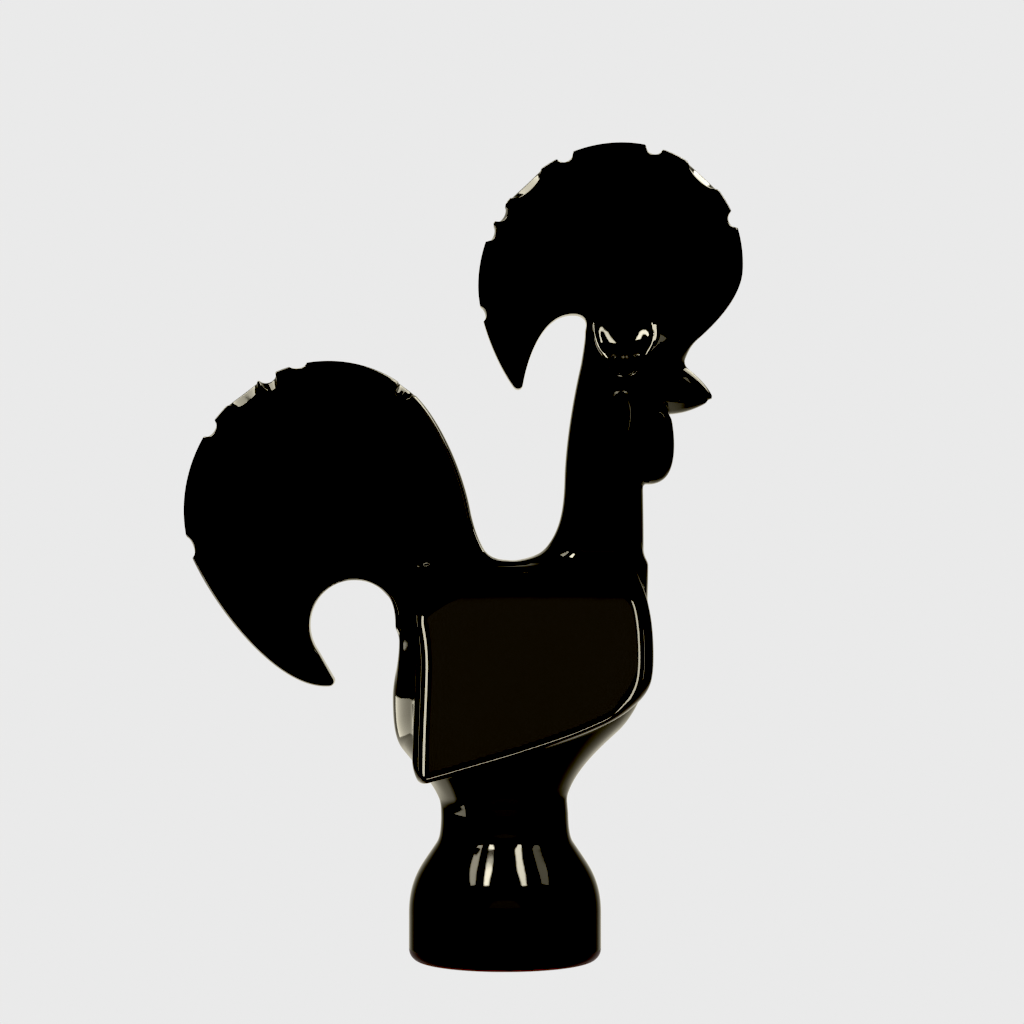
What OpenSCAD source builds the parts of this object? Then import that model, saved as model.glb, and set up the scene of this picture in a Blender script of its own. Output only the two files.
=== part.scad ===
// Rooster ornament in glazed earthenware, standing on a bell foot.
// X points to the beak, Y to the rooster's left and Z up.
// The origin is the middle of the standing ring, on the ground.

/* [Foot] */
// Largest radius of the bell foot
foot_r = 24; // [22:0.5:28]
// Radius that rounds the foot's lower edge
foot_edge_r = 3; // [1:0.5:4]
// Height at which the foot's upright side ends
foot_side_h = 17; // [14:0.5:20]
// Radius of the foot's shoulder
shoulder_r = 10; // [8:0.5:12]
// Width of the flat ring that the foot stands on
ring_w = 4; // [3:0.5:6]
// Height of the lip round the mouth of the foot
lip_h = 3; // [2:0.5:5]

/* [Waist] */
// Radius of the waist, where the foot meets the torso
waist_r = 15.5; // [14:0.5:18]
// Height of the waist above the ground
waist_z = 37; // [34:0.5:40]
// Radius of the hollow curve from the shoulder to the waist
waist_curve_r = 12; // [8:0.5:13]
// Thickness of the clay wall
wall = 4; // [3:0.5:5]

/* [Torso] */
// Distance of the rump from the foot's axis
rump_x = 28; // [24:0.5:32]
// Height of the rump's fullest point above the waist
rump_h = 25; // [21:0.5:29]
// Distance of the breast from the foot's axis
breast_x = 37; // [34:0.5:40]
// Height of the breast's fullest point above the waist
breast_h = 38; // [33:0.5:43]
// Half of the torso's width across its fullest part
torso_half_w = 19; // [17:0.5:22]
// Squareness of the torso's section, where 2 is an ellipse
torso_square = 3.2; // [2:0.1:4]
// Height of the torso, from the waist to the back between the tail and the neck
torso_h = 61.75; // [57:0.25:67]
// Half of the back's width at the top
back_half_w = 11; // [9:0.5:13]
// Height over which the torso rounds in to its back
back_round_h = 18; // [12:0.5:20]
// Thickness of the clay under the back, deep enough for the tail's root
back_wall = 9; // [8:0.5:12]

/* [Wings] */
// Distance of the wing's seat from the middle plane
flank_y = 16.5; // [14:0.5:18]
// Thickness of a wing at its upper edge
wing_t = 3; // [3:0.25:5]
// How much further a wing stands out at its hind lower corner than at its upper edge
wing_flare = 4.25; // [0:0.25:6]
// Radius that rounds a wing's outer edge
wing_edge_r = 2.5; // [1:0.25:3]
// Distance of the wing's hind edge behind the foot's axis
wing_back_x = 22.5; // [20:0.5:25]
// Height of the wing's hind lower corner above the waist
wing_corner_h = 6.5; // [4:0.5:11]
// Rise of the wing's lower edge from the hind corner to the breast
wing_rise = 13; // [8:0.5:16]
// Depth of the wing's upper edge below the back
wing_drop = 3.25; // [1.75:0.25:8]

/* [Neck] */
// Radius of the neck column
neck_r = 10; // [9:0.5:12]
// Distance of the neck's axis ahead of the foot's axis
neck_x = 24.75; // [22:0.25:27]
// Reach of the flare behind the neck
neck_flare = 10; // [6:0.5:12]
// Height over which the neck flares to the back
neck_flare_h = 15; // [10:0.5:18]
// Height of the neck, from the back to the joint with the head
neck_h = 19.25; // [16:0.25:23]

/* [Head] */
// Height of the head, from its joint with the neck to the crown under the comb
head_h = 39.5; // [36:0.5:42]
// Distance of the crown's hind end ahead of the foot's axis
nape_x = 21; // [18:0.5:24]
// Distance of the face's front ahead of the foot's axis
face_x = 44; // [42:0.5:47]
// Depth of the face's fullest point below the crown
face_drop = 10.5; // [8.5:0.5:13]
// Half of the head's width
head_half_w = 10.5; // [9.5:0.25:12]
// Height over which the head rounds in to the comb
crown_round_h = 12; // [9:0.5:14]
// Distance of the cheek's flat from the middle plane
cheek_y = 9.5; // [8.5:0.25:10.5]

/* [Comb] */
// Thickness of the comb plate
comb_t = 8; // [6:0.5:10]
// Mean radius of the comb's rim
comb_r = 33; // [30:0.5:35]
// Distance of the comb's centre ahead of the foot's axis
comb_x = 26.25; // [24:0.25:28]
// Height of the comb's centre above the crown
comb_rise = 13.5; // [11:0.5:16]
// Growth of the comb's radius up and forwards, which leans its rim
comb_lean = 1.4; // [0:0.1:2]
// Distance of the horn's tip ahead of the foot's axis
horn_x = 3.25; // [1:0.25:6]
// Depth of the horn's tip, at the back of the comb, below the crown
horn_drop = 15; // [11:0.5:19]
// Distance of the arch behind the comb ahead of the foot's axis
comb_arch_x = 16.75; // [14:0.25:18]
// Height of the arch between the horn and the nape above the crown
comb_arch_rise = 3.75; // [2:0.25:5]
// Directions of the narrow scoops round the comb's centre
comb_scoops = [24, 71, 111, 151, 161, 197];
// Directions of the wide scoops round the comb's centre
comb_wide_scoops = [48, 134];

/* [Tail] */
// Thickness of the tail plate
tail_t = 8; // [6:0.5:10]
// Mean radius of the tail's rim
tail_r = 34.25; // [32:0.25:37]
// Growth of the tail's radius up and forwards, which leans its rim
tail_lean = 1.3; // [0:0.1:2]
// Distance of the tail's centre behind the foot's axis
tail_x = 46.25; // [44:0.25:49]
// Height of the tail's centre above the back
tail_rise = 16.25; // [13:0.25:19]
// Radius of the arch between the tail and the rump
arch_r = 11.25; // [9:0.25:12]
// Depth of the arch's centre below the back
arch_drop = 15; // [13:0.25:18]
// Depth of the tail's tip below the back
tip_drop = 30.25; // [27:0.25:34]
// Directions of the narrow scoops round the tail's centre
tail_scoops = [52, 99, 114, 147, 200];
// Directions of the wide scoops round the tail's centre
tail_wide_scoops = [126];

/* [Scoops in the rims] */
// Radius of a narrow scoop
scoop_r = 1.75; // [1:0.25:3]
// Depth of a narrow scoop
scoop_depth = 1.75; // [1:0.25:3]
// Radius of a wide scoop
wide_scoop_r = 5; // [3:0.25:7]
// Depth of a wide scoop
wide_scoop_depth = 1.5; // [1:0.25:2.5]

/* [Face] */
// Reach of the beak's tip ahead of the foot's axis
beak_tip_x = 52; // [49:0.5:56]
// Depth of the top of the beak's root below the crown
brow_drop = 7.25; // [6.5:0.25:9]
// Depth of the line between the beak's halves below the crown
mouth_drop = 17.25; // [15:0.25:19]
// Height of the lower half of the beak at its root
beak_lower_h = 4; // [3:0.25:5]
// Half of the beak's width at its root
beak_half_w = 6; // [4:0.25:7]
// Distance of the beak's seat ahead of the foot's axis
beak_seat_x = 41; // [39:0.5:42]
// Height of a wattle's lower end above the joint of head and neck
wattle_lift = 0.25; // [0.25:0.25:4]
// Width of a wattle seen from the side
wattle_w = 9; // [7:0.5:11]
// Thickness of a wattle
wattle_t = 5; // [3:0.5:6]
// Radius of an eye bead
eye_r = 2.25; // [1.5:0.25:3]
// Distance of the eye ahead of the foot's axis
eye_x = 30; // [28:0.5:33]
// Depth of the eye below the crown
eye_drop = 8.25; // [6.5:0.25:10]
// Height of an ear lobe
lobe_h = 14.5; // [10:0.5:16]
// Width of an ear lobe
lobe_w = 6.5; // [4:0.5:8]
// Thickness of an ear lobe
lobe_t = 1.75; // [1:0.25:2.5]
// Distance of the ear lobe ahead of the foot's axis
lobe_x = 28.75; // [26:0.25:31]
// Depth of the ear lobe's middle below the crown
lobe_drop = 22.5; // [20:0.5:25]

/* [Joints in the clay] */
// Clearance round a root in its slot
fit = 0.15; // [0.1:0.05:0.3]
// Depth of the roots of the tail and the comb
root_depth = 5; // [4:0.5:6]

/* [Hidden] */
$fn = 96;
glaze = "#15130d";
big = 300;
torso_sides = 36;
torso_rings = 18;
head_sides = 28;
head_rings = 14;
curve_steps = 10;
ring_inner_r = foot_r - foot_edge_r - ring_w;
bore_r = neck_r - wall;
rump_z = waist_z + rump_h;
breast_z = waist_z + breast_h;
back_z = waist_z + torso_h;
cavity_top_z = back_z - back_wall;
head_z = back_z + neck_h;
crown_z = head_z + head_h;
face_z = crown_z - face_drop;
mouth_z = crown_z - mouth_drop;
beak_upper_h = mouth_drop - brow_drop;
wing_corner_z = waist_z + wing_corner_h;
wing_top_z = back_z - wing_drop;
arch_z = back_z - arch_drop;
arch_x = tail_x - arch_r * 0.78;
tail_seat_x = arch_x - arch_r;
throat_x = neck_x + neck_r;
wattle_seat_x = throat_x - 1;

// Curves

// Eases from 0 to 1 with level ends
function ease(t) = let (u = min(1, max(0, t))) u * u * u * (u * (6 * u - 15) + 10);
function mix(a, b, t) = a + (b - a) * t;
// Quarter of an ellipse, from 1 at t = 0 down to 0 at t = 1
function dome(t) = let (u = min(1, max(0, t))) sqrt(1 - u * u);
function arc(c, r, a0, a1, n = 24) =
    [for (i = [0:n]) let (a = mix(a0, a1, i / n)) [c[0] + r * cos(a), c[1] + r * sin(a)]];
function bezier(p0, p1, p2, p3, n = curve_steps) =
    [for (i = [0:n]) let (t = i / n, s = 1 - t)
        s * s * s * p0 + 3 * s * s * t * p1 + 3 * s * t * t * p2 + t * t * t * p3];
function power(v, e) = sign(v) * pow(abs(v), e);
// Closed ring round c, reaching u one way and v the other, squarer as e grows from 2
function ring(c, u, v, e, n) =
    [for (i = [0:n - 1]) let (a = 360 * i / n) c + u * power(cos(a), 2 / e) + v * power(sin(a), 2 / e)];

// Solid skin over a stack of rings with the same number of points
module skin(rings) {
    n = len(rings[0]);
    m = len(rings);
    polyhedron(
        points = [for (r = rings) each r],
        faces = concat(
            [[for (i = [0:n - 1]) i]],
            [[for (i = [0:n - 1]) m * n - 1 - i]],
            [for (j = [0:m - 2]) for (i = [0:n - 1])
                [j * n + i, (j + 1) * n + i, (j + 1) * n + (i + 1) % n]],
            [for (j = [0:m - 2]) for (i = [0:n - 1])
                [j * n + i, (j + 1) * n + (i + 1) % n, j * n + (i + 1) % n]]));
}

// Plate of thickness t, upright in the middle plane
module plate(t) {
    rotate([90, 0, 0]) linear_extrude(t, center = true) children();
}

// Foot

shoulder_c = [foot_r - shoulder_r, foot_side_h];
waist_c = [waist_r + waist_curve_r, waist_z];
shoulder_to_waist = waist_c - shoulder_c;
slope_turn = acos(min(1, (shoulder_r + waist_curve_r) / norm(shoulder_to_waist)));
slope = atan2(shoulder_to_waist[1], shoulder_to_waist[0]) - slope_turn;

// Half section of the bell, moved inwards by inset
function bell(inset) = concat(
    arc(shoulder_c, shoulder_r - inset, 0, slope, 12),
    arc(waist_c, waist_curve_r + inset, 180 + slope, 180, 12));

module foot() {
    edge_c = [foot_r - foot_edge_r, foot_edge_r];
    color(glaze) difference() {
        rotate_extrude() polygon(concat(
            [[0, 0]], arc(edge_c, foot_edge_r, -90, 0, 8), bell(0), [[0, waist_z]]));
        rotate_extrude() polygon(concat(
            [[0, -1], [ring_inner_r, -1], [ring_inner_r, lip_h], [foot_r - wall, lip_h + wall]],
            bell(wall),
            [[waist_r - wall, waist_z + 1], [0, waist_z + 1]]));
    }
}

// Torso

torso_mid_z = (rump_z + breast_z) / 2;
function rump_at(z) = z < rump_z
    ? mix(waist_r, rump_x, ease((z - waist_z) / (rump_z - waist_z)))
    : mix(rump_x, tail_seat_x, ease((z - rump_z) / (arch_z - rump_z)))
        - root_depth * (1 - dome((z - back_z + back_round_h / 2) / (back_round_h / 2)));
function breast_at(z) = z < breast_z
    ? mix(waist_r, breast_x, ease((z - waist_z) / (breast_z - waist_z)))
    : mix(breast_x, throat_x, ease((z - breast_z) / (back_z - breast_z)));
function torso_half_at(z) = z < torso_mid_z
    ? mix(waist_r, torso_half_w, ease((z - waist_z) / (torso_mid_z - waist_z)))
    : mix(back_half_w, torso_half_w, dome((z - back_z + back_round_h) / back_round_h));
function torso_ring(z, inset) =
    let (a = rump_at(z) - inset, b = breast_at(z) - inset, w = torso_half_at(z) - inset)
    ring([(b - a) / 2, 0, z], [(a + b) / 2, 0, 0], [0, w, 0],
         mix(2, torso_square, ease((z - waist_z) / (torso_mid_z - waist_z))), torso_sides);

module torso() {
    cavity_base_z = waist_z - 0.01;
    color(glaze) difference() {
        intersection() {
            skin([for (i = [0:torso_rings]) torso_ring(mix(waist_z, back_z, i / torso_rings), 0)]);
            translate([-big / 2, -flank_y, 0]) cube([big, 2 * flank_y, big]);
        }
        skin([for (i = [0:torso_rings / 2])
            torso_ring(mix(cavity_base_z, cavity_top_z, 2 * i / torso_rings), wall)]);
        translate([neck_x, 0, cavity_top_z - 1]) cylinder(r = bore_r, h = back_wall + 2);
        plate(tail_t + 2 * fit) polygon(tail_root(fit));
    }
}

// Wings

wing_front_x = breast_x - 0.5;
// Outline of a wing moved inwards by inset, seen from the rooster's right side
function wing_outline(inset) =
    let (b = -wing_back_x + inset, f = wing_front_x - inset, c = wing_corner_z + inset,
         t = wing_top_z - inset, r = wing_edge_r + 0.5, m = breast_z)
    concat(
        arc([b + r, c + r], r, 180, 255, 6),
        bezier([f - 30, c + wing_rise * 0.62], [f - 14, c + wing_rise], [f, m - 14], [f, m]),
        bezier([f, m + 6], [f, t - 7], [f - 4, t], [f - 14, t]),
        bezier([b + 10, t], [b + 3, t], [b, t - 4], [b, t - 12]));
// A ring of the wing that leaves the distance y from the middle plane downwards, flare further out in all
function wing_ring(y, inset, flare) =
    let (o = wing_outline(inset), n = len(o), h = wing_top_z - wing_corner_z)
    [for (i = [0:n - 1]) let (p = o[n - 1 - i]) [p[0], y + flare * (wing_top_z - p[1]) / h, p[1]]];

module wing() {
    edge_steps = 4;
    color(glaze) skin(concat(
        [wing_ring(flank_y, 0, 0)],
        [for (i = [0:edge_steps]) let (a = 90 * i / edge_steps, r = wing_edge_r)
            wing_ring(flank_y + wing_t - r * (1 - sin(a)), r * (1 - cos(a)), wing_flare)]));
}

module left_wing() { wing(); }
module right_wing() { mirror([0, 1, 0]) wing(); }

// Neck and head

function neck_ring(z) =
    let (flare = 1 - dome(1 - (z - back_z) / neck_flare_h),
         a = neck_x - neck_r - neck_flare * flare,
         w = mix(neck_r, back_half_w, flare))
    ring([(a + throat_x) / 2, 0, z], [(throat_x - a) / 2, 0, 0], [0, w, 0], 2, head_sides);

module neck() {
    neck_rings = 12;
    color(glaze) difference() {
        skin([for (i = [0:neck_rings]) neck_ring(mix(back_z, head_z, i / neck_rings))]);
        translate([neck_x, 0, back_z - 1]) cylinder(r = bore_r, h = head_z - back_z + 2);
    }
}

function nape_at(z) = mix(neck_x - neck_r, nape_x, pow((z - head_z) / (crown_z - head_z), 2.6));
function face_at(z) = z < face_z
    ? mix(throat_x, face_x, ease((z - head_z - 8) / (face_z - head_z - 8)))
    : face_x - 4 * (1 - dome((z - face_z) / (crown_z - face_z)));
function head_half_at(z) = z < crown_z - crown_round_h
    ? mix(neck_r, head_half_w, ease((z - head_z) / (crown_z - crown_round_h - head_z)))
    : mix(comb_t / 2, head_half_w, dome((z - crown_z + crown_round_h) / crown_round_h));
function head_ring(z) =
    let (a = nape_at(z), b = face_at(z))
    ring([(a + b) / 2, 0, z], [(b - a) / 2, 0, 0], [0, head_half_at(z), 0], 2, head_sides);

module head() {
    color(glaze) difference() {
        intersection() {
            skin([for (i = [0:head_rings]) head_ring(mix(head_z, crown_z, i / head_rings))]);
            translate([0, -cheek_y, 0]) cube([big, 2 * cheek_y, big]);
        }
        // Flats that the beak and the wattles sit on
        translate([beak_seat_x, -big / 2, 0]) cube([big, big, mouth_z + beak_upper_h]);
        translate([wattle_seat_x, -big / 2, 0]) cube([big, big, mouth_z - beak_lower_h]);
        plate(comb_t + 2 * fit) polygon(comb_root(fit));
        for (side = [-1, 1]) translate([eye_x, side * cheek_y, crown_z - eye_drop]) sphere(r = eye_r + fit);
    }
}

// Rims of the comb and the tail

// Radius of a leaning rim in the direction a
function rim_r(r, lean, turn, a) = r + lean * sin(2 * a - turn);
function rim_point(c, r, lean, turn, a) = c + rim_r(r, lean, turn, a) * [cos(a), sin(a)];
function rim(c, r, lean, turn, a0, a1, n = 48) =
    [for (i = [0:n]) rim_point(c, r, lean, turn, mix(a0, a1, i / n))];

// Scoop across a rim, centred at the point p of the rim in the direction a
module scoop(p, a, r, depth) {
    translate([p[0] + (r - depth) * cos(a), 0, p[1] + (r - depth) * sin(a)])
        rotate([90, 0, 0]) cylinder(r = r, h = big, center = true, $fn = 32);
}

// Comb

comb_c = [comb_x, crown_z + comb_rise];
horn_z = crown_z - horn_drop;
comb_arch_z = crown_z + comb_arch_rise;
comb_root_z = crown_z - root_depth;
// Root of the comb in the head's slot, with the gap g round it
function comb_root(g) = [
    [nape_x + 2 - g, crown_z + big / 10], [nape_x + 2 - g, comb_root_z - g],
    [face_x - 3 + g, comb_root_z - g], [face_x - 3 + g, crown_z + big / 10]];

module comb_outline() {
    tip_r = 1.2;
    hind = rim_point(comb_c, comb_r, comb_lean, 0, 188);
    fore = rim_point(comb_c, comb_r, comb_lean, 0, 3);
    tip_c = [horn_x, horn_z + tip_r];
    polygon(concat(
        rim(comb_c, comb_r, comb_lean, 0, 3, 188),
        bezier(hind, hind + [0.6, -8], tip_c + [-5, 4.75], tip_c + tip_r * [cos(215), sin(215)]),
        arc(tip_c, tip_r, 240, 350, 4),
        bezier(tip_c + [tip_r, 0], tip_c + [2.2, 6], [comb_arch_x - 7.75, comb_arch_z],
               [comb_arch_x, comb_arch_z]),
        bezier([comb_arch_x + 0.5, comb_arch_z], [comb_arch_x + 2.75, comb_arch_z],
               [nape_x + 0.75, comb_arch_z - 1.75], [nape_x + 0.25, crown_z], 6),
        [[nape_x + 2, crown_z - 1], [nape_x + 2, comb_root_z],
         [face_x - 3, comb_root_z], [face_x - 3, crown_z - 6]],
        bezier([face_x + 0.25, crown_z - 6], [face_x + 7, crown_z - 0.5], fore + [0, -7.75], fore)));
}

module comb() {
    color(glaze) difference() {
        plate(comb_t) comb_outline();
        for (a = comb_scoops)
            scoop(rim_point(comb_c, comb_r, comb_lean, 0, a), a, scoop_r, scoop_depth);
        for (a = comb_wide_scoops)
            scoop(rim_point(comb_c, comb_r, comb_lean, 0, a), a, wide_scoop_r, wide_scoop_depth);
    }
}

// Tail

tail_c = [-tail_x, back_z + tail_rise];
tip_z = back_z - tip_drop;
tail_turn = 20;
tail_front_x = 1;
// Root of the tail in the torso's slot, with the gap g round it
function tail_root(g) = [
    [-big, arch_z - g],
    [-tail_seat_x + wall - 1 + g, arch_z - g],
    [-tail_seat_x + wall - 1 + g, back_z - root_depth - 2 - g],
    [-tail_front_x - 4 + g, back_z - root_depth - g],
    [-tail_front_x - 4 + g, back_z + big / 10],
    [-big, back_z + big / 10]];

module tail_outline() {
    hind = rim_point(tail_c, tail_r, tail_lean, tail_turn, 205);
    fore = rim_point(tail_c, tail_r, tail_lean, tail_turn, 50);
    tip_r = 1.25;
    tip = [1.5 - tail_x, tip_z];
    knee = [-tail_front_x - 7.25, back_z + 11.75];
    polygon(concat(
        rim(tail_c, tail_r, tail_lean, tail_turn, 50, 205),
        bezier(hind, hind + [6.3, -13.6], tip + [-12, 0], tip),
        arc(tip + [1, tip_r], tip_r, -80, 45, 4),
        arc([-arch_x, arch_z], arch_r, 215, 0, 30),
        [[-tail_seat_x + wall - 1, arch_z], [-tail_seat_x + wall - 1, back_z - root_depth - 2],
         [-tail_front_x - 4, back_z - root_depth], [-tail_front_x - 4, back_z]],
        bezier([-tail_front_x, back_z], [-tail_front_x - 4, back_z + 1.25],
               [-tail_front_x - 6, back_z + 6.75], knee),
        bezier(knee + [-0.25, 1], knee + [-2, 11.5], fore + [6.9, -5.8], fore)));
}

module tail() {
    color(glaze) difference() {
        plate(tail_t) tail_outline();
        for (a = tail_scoops)
            scoop(rim_point(tail_c, tail_r, tail_lean, tail_turn, a), a, scoop_r, scoop_depth);
        for (a = tail_wide_scoops)
            scoop(rim_point(tail_c, tail_r, tail_lean, tail_turn, a), a, wide_scoop_r, wide_scoop_depth);
    }
}

// Beak

// One half of the beak, h high at its root, above the mouth line or below it
module beak_half(h, up) {
    reach = beak_tip_x - beak_seat_x;
    steps = 7;
    n = 16;
    color(glaze) translate([beak_seat_x, 0, mouth_z]) skin([for (i = [0:steps])
        let (t = i / steps, k = dome(pow(t, 1.25) * 0.985))
        [for (j = [0:n - 1]) let (a = 180 * j / (n - 1), s = up ? a : 180 + a)
            [reach * t, beak_half_w * k * cos(s), h * k * sin(s)]]]);
}

module upper_beak() { beak_half(beak_upper_h, true); }
module lower_beak() { beak_half(beak_lower_h - fit, false); }

// Wattles

module wattle() {
    top_z = mouth_z - beak_lower_h - fit;
    bottom_z = head_z + wattle_lift;
    full = 0.45;
    n = 10;
    color(glaze) intersection() {
        skin([for (i = [0:n]) let (t = mix(0.02, 1, i / n), k = dome(1 - t / full) * mix(1, 0.8, t - full))
            ring([wattle_seat_x + 1.5, wattle_t / 2, mix(bottom_z, top_z, t)],
                 [wattle_w * 0.78 * k, 0, 0], [0, wattle_t / 2 * k, 0], 2, 16)]);
        translate([wattle_seat_x, 0, 0]) cube([big, wattle_t, big]);
    }
}

module left_wattle() { wattle(); }
module right_wattle() { mirror([0, 1, 0]) wattle(); }

// Eyes and ear lobes

module eye() {
    color(glaze) translate([eye_x, cheek_y, crown_z - eye_drop]) sphere(r = eye_r, $fn = 32);
}

module left_eye() { eye(); }
module right_eye() { mirror([0, 1, 0]) eye(); }

module ear_lobe() {
    edge_steps = 3;
    color(glaze) skin([for (i = [0:edge_steps]) let (a = 90 * i / edge_steps, k = mix(0.7, 1, cos(a)))
        ring([lobe_x, cheek_y + lobe_t * sin(a), crown_z - lobe_drop],
             [0, 0, lobe_h / 2 * k], [lobe_w / 2 * k, 0, 0], 2, 24)]);
}

module left_ear_lobe() { ear_lobe(); }
module right_ear_lobe() { mirror([0, 1, 0]) ear_lobe(); }

foot();
torso();
left_wing();
right_wing();
neck();
head();
comb();
tail();
upper_beak();
lower_beak();
left_wattle();
right_wattle();
left_eye();
right_eye();
left_ear_lobe();
right_ear_lobe();
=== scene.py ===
"""Looks of the glazed rooster: its pieces, their glaze, the studio and the camera.

The rooster is described once, in millimetres, as a smooth solid field. One mesh is drawn over the field
and shared out to the pieces, so that the glaze runs over their joints as it does on the fired clay.
"""
import math

import bpy
import numpy as np
from mathutils import Matrix, Vector


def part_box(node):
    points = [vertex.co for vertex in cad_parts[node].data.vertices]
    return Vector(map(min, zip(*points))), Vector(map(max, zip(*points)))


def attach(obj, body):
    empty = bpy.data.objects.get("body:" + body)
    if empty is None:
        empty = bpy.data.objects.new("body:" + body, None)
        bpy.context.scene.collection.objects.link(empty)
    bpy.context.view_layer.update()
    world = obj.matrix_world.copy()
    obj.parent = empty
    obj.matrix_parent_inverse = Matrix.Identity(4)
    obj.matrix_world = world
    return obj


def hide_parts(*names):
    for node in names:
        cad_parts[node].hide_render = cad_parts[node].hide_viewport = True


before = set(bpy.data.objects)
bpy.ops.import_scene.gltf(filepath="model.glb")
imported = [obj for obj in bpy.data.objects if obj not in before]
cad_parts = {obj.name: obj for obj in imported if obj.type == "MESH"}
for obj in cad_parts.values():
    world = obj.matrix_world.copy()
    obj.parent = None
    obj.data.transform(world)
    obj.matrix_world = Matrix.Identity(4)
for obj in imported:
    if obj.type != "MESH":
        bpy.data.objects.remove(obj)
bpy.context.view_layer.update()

MM = 0.001
PIECES = ["foot", "torso", "left_wing", "right_wing", "neck", "head", "comb", "tail", "upper_beak",
          "lower_beak", "left_wattle", "right_wattle", "left_eye", "right_eye",
          "left_ear_lobe", "right_ear_lobe"]
LABEL = {name: i + 1 for i, name in enumerate(PIECES)}


def box_mm(node):
    """Lowest and highest corner of a CAD node, in millimetres."""
    low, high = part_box(node)
    return np.array(low) / MM, np.array(high) / MM


# Sizes from the frame, in millimetres

FOOT_R = box_mm("foot")[1][0]
WAIST_Z = box_mm("foot")[1][2]
BACK_Z = box_mm("torso")[1][2]
HEAD_Z = box_mm("head")[0][2]
CROWN_Z = box_mm("head")[1][2]
RUMP_X = -box_mm("torso")[0][0]
WING_LOW, WING_HIGH = box_mm("right_wing")
WING_Y = -WING_LOW[1]
THROAT_X = box_mm("neck")[1][0]
COMB_LOW, COMB_HIGH = box_mm("comb")
TAIL_LOW = box_mm("tail")[0]
BEAK_LOW, BEAK_HIGH = box_mm("upper_beak")
WATTLE_LOW, WATTLE_HIGH = box_mm("left_wattle")
EYE_LOW, EYE_HIGH = box_mm("left_eye")
LOBE_LOW, LOBE_HIGH = box_mm("left_ear_lobe")

WALL = 4.0
NECK_R = 10.0
MESH_STEP = 0.62


# Curves

def smooth(t):
    """Eases from 0 to 1 with level ends."""
    u = np.clip(t, 0.0, 1.0)
    return u * u * u * (u * (6 * u - 15) + 10)


def mix(a, b, t):
    """Goes from a to b as t goes from 0 to 1."""
    return a + (b - a) * t


def arc(centre, radius, start, end, steps=48):
    turn = np.radians(np.linspace(start, end, steps + 1))
    return np.stack([centre[0] + radius * np.cos(turn), centre[1] + radius * np.sin(turn)], 1)


def bezier(p0, p1, p2, p3, steps=40):
    t = np.linspace(0, 1, steps + 1)[:, None]
    s = 1 - t
    return (s ** 3 * np.array(p0) + 3 * s * s * t * np.array(p1)
            + 3 * s * t * t * np.array(p2) + t ** 3 * np.array(p3))


def rim(centre, radius, lean, turn, start, end, steps=240):
    """Arc whose radius grows and shrinks by lean, most at 45 degrees plus half of turn."""
    a = np.linspace(start, end, steps + 1)
    r = radius + lean * np.sin(np.radians(2 * a - turn))
    a = np.radians(a)
    return np.stack([centre[0] + r * np.cos(a), centre[1] + r * np.sin(a)], 1)


# Distance to an outline

class Outline:
    """Signed distance to a closed outline, read from a fine grid through smooth cubic weights."""

    PITCH = 0.25
    MARGIN = 9.0
    BLUR = 0.3

    def __init__(self, points):
        points = np.asarray(points, float)
        self.low = points.min(0) - self.MARGIN
        size = np.ceil((points.max(0) + self.MARGIN - self.low) / self.PITCH).astype(int) + 1
        u = self.low[0] + self.PITCH * np.arange(size[0])
        v = self.low[1] + self.PITCH * np.arange(size[1])
        grid_u, grid_v = np.meshgrid(u, v, indexing="ij")
        self.grid = self.blur(self.distance(points, grid_u, grid_v))

    @staticmethod
    def distance(points, u, v):
        best = np.full(u.shape, 1e9)
        inside = np.zeros(u.shape, bool)
        for (ax, ay), (bx, by) in zip(points, np.roll(points, -1, 0)):
            ex, ey = bx - ax, by - ay
            length2 = ex * ex + ey * ey
            if length2 < 1e-12:
                continue
            wx, wy = u - ax, v - ay
            t = np.clip((wx * ex + wy * ey) / length2, 0, 1)
            best = np.minimum(best, (wx - ex * t) ** 2 + (wy - ey * t) ** 2)
            if ay != by:
                inside ^= ((ay > v) != (by > v)) & (u < ex * (v - ay) / ey + ax)
        return np.sqrt(best) * np.where(inside, -1, 1)

    def blur(self, grid):
        reach = int(math.ceil(3 * self.BLUR / self.PITCH))
        weights = np.exp(-0.5 * (np.arange(-reach, reach + 1) * self.PITCH / self.BLUR) ** 2)
        weights /= weights.sum()
        for axis in (0, 1):
            padded = np.pad(grid, [(reach, reach) if a == axis else (0, 0) for a in (0, 1)], "edge")
            count = grid.shape[axis]
            grid = sum(w * np.take(padded, range(i, i + count), axis) for i, w in enumerate(weights))
        return grid

    def __call__(self, u, v):
        u, v = np.broadcast_arrays(u, v)
        pu = np.clip((u - self.low[0]) / self.PITCH, 1.001, self.grid.shape[0] - 2.001)
        pv = np.clip((v - self.low[1]) / self.PITCH, 1.001, self.grid.shape[1] - 2.001)
        iu, iv = pu.astype(int), pv.astype(int)
        weights_u, weights_v = self.cubic(pu - iu), self.cubic(pv - iv)
        total = 0.0
        for a in range(4):
            for b in range(4):
                total = total + weights_u[a] * weights_v[b] * self.grid[iu + a - 1, iv + b - 1]
        return total

    @staticmethod
    def cubic(t):
        s = 1 - t
        return s ** 3 / 6, (3 * t ** 3 - 6 * t * t + 4) / 6, (3 * s ** 3 - 6 * s * s + 4) / 6, t ** 3 / 6


# Solids from distances

def soft_min(a, b, k):
    """Union of two solids with a fillet about k wide."""
    h = np.maximum(k - np.abs(a - b), 0.0) / k
    return np.minimum(a, b) - h * h * k / 4


def soft_max(a, b, k):
    return -soft_min(-a, -b, k)


def pillow(outline, across, half, radius):
    """Outline drawn out to half on both sides, with its edges rounded by radius."""
    a = outline + radius
    b = across - half + radius
    return np.minimum(np.maximum(a, b), 0) + np.hypot(np.maximum(a, 0), np.maximum(b, 0)) - radius


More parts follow.
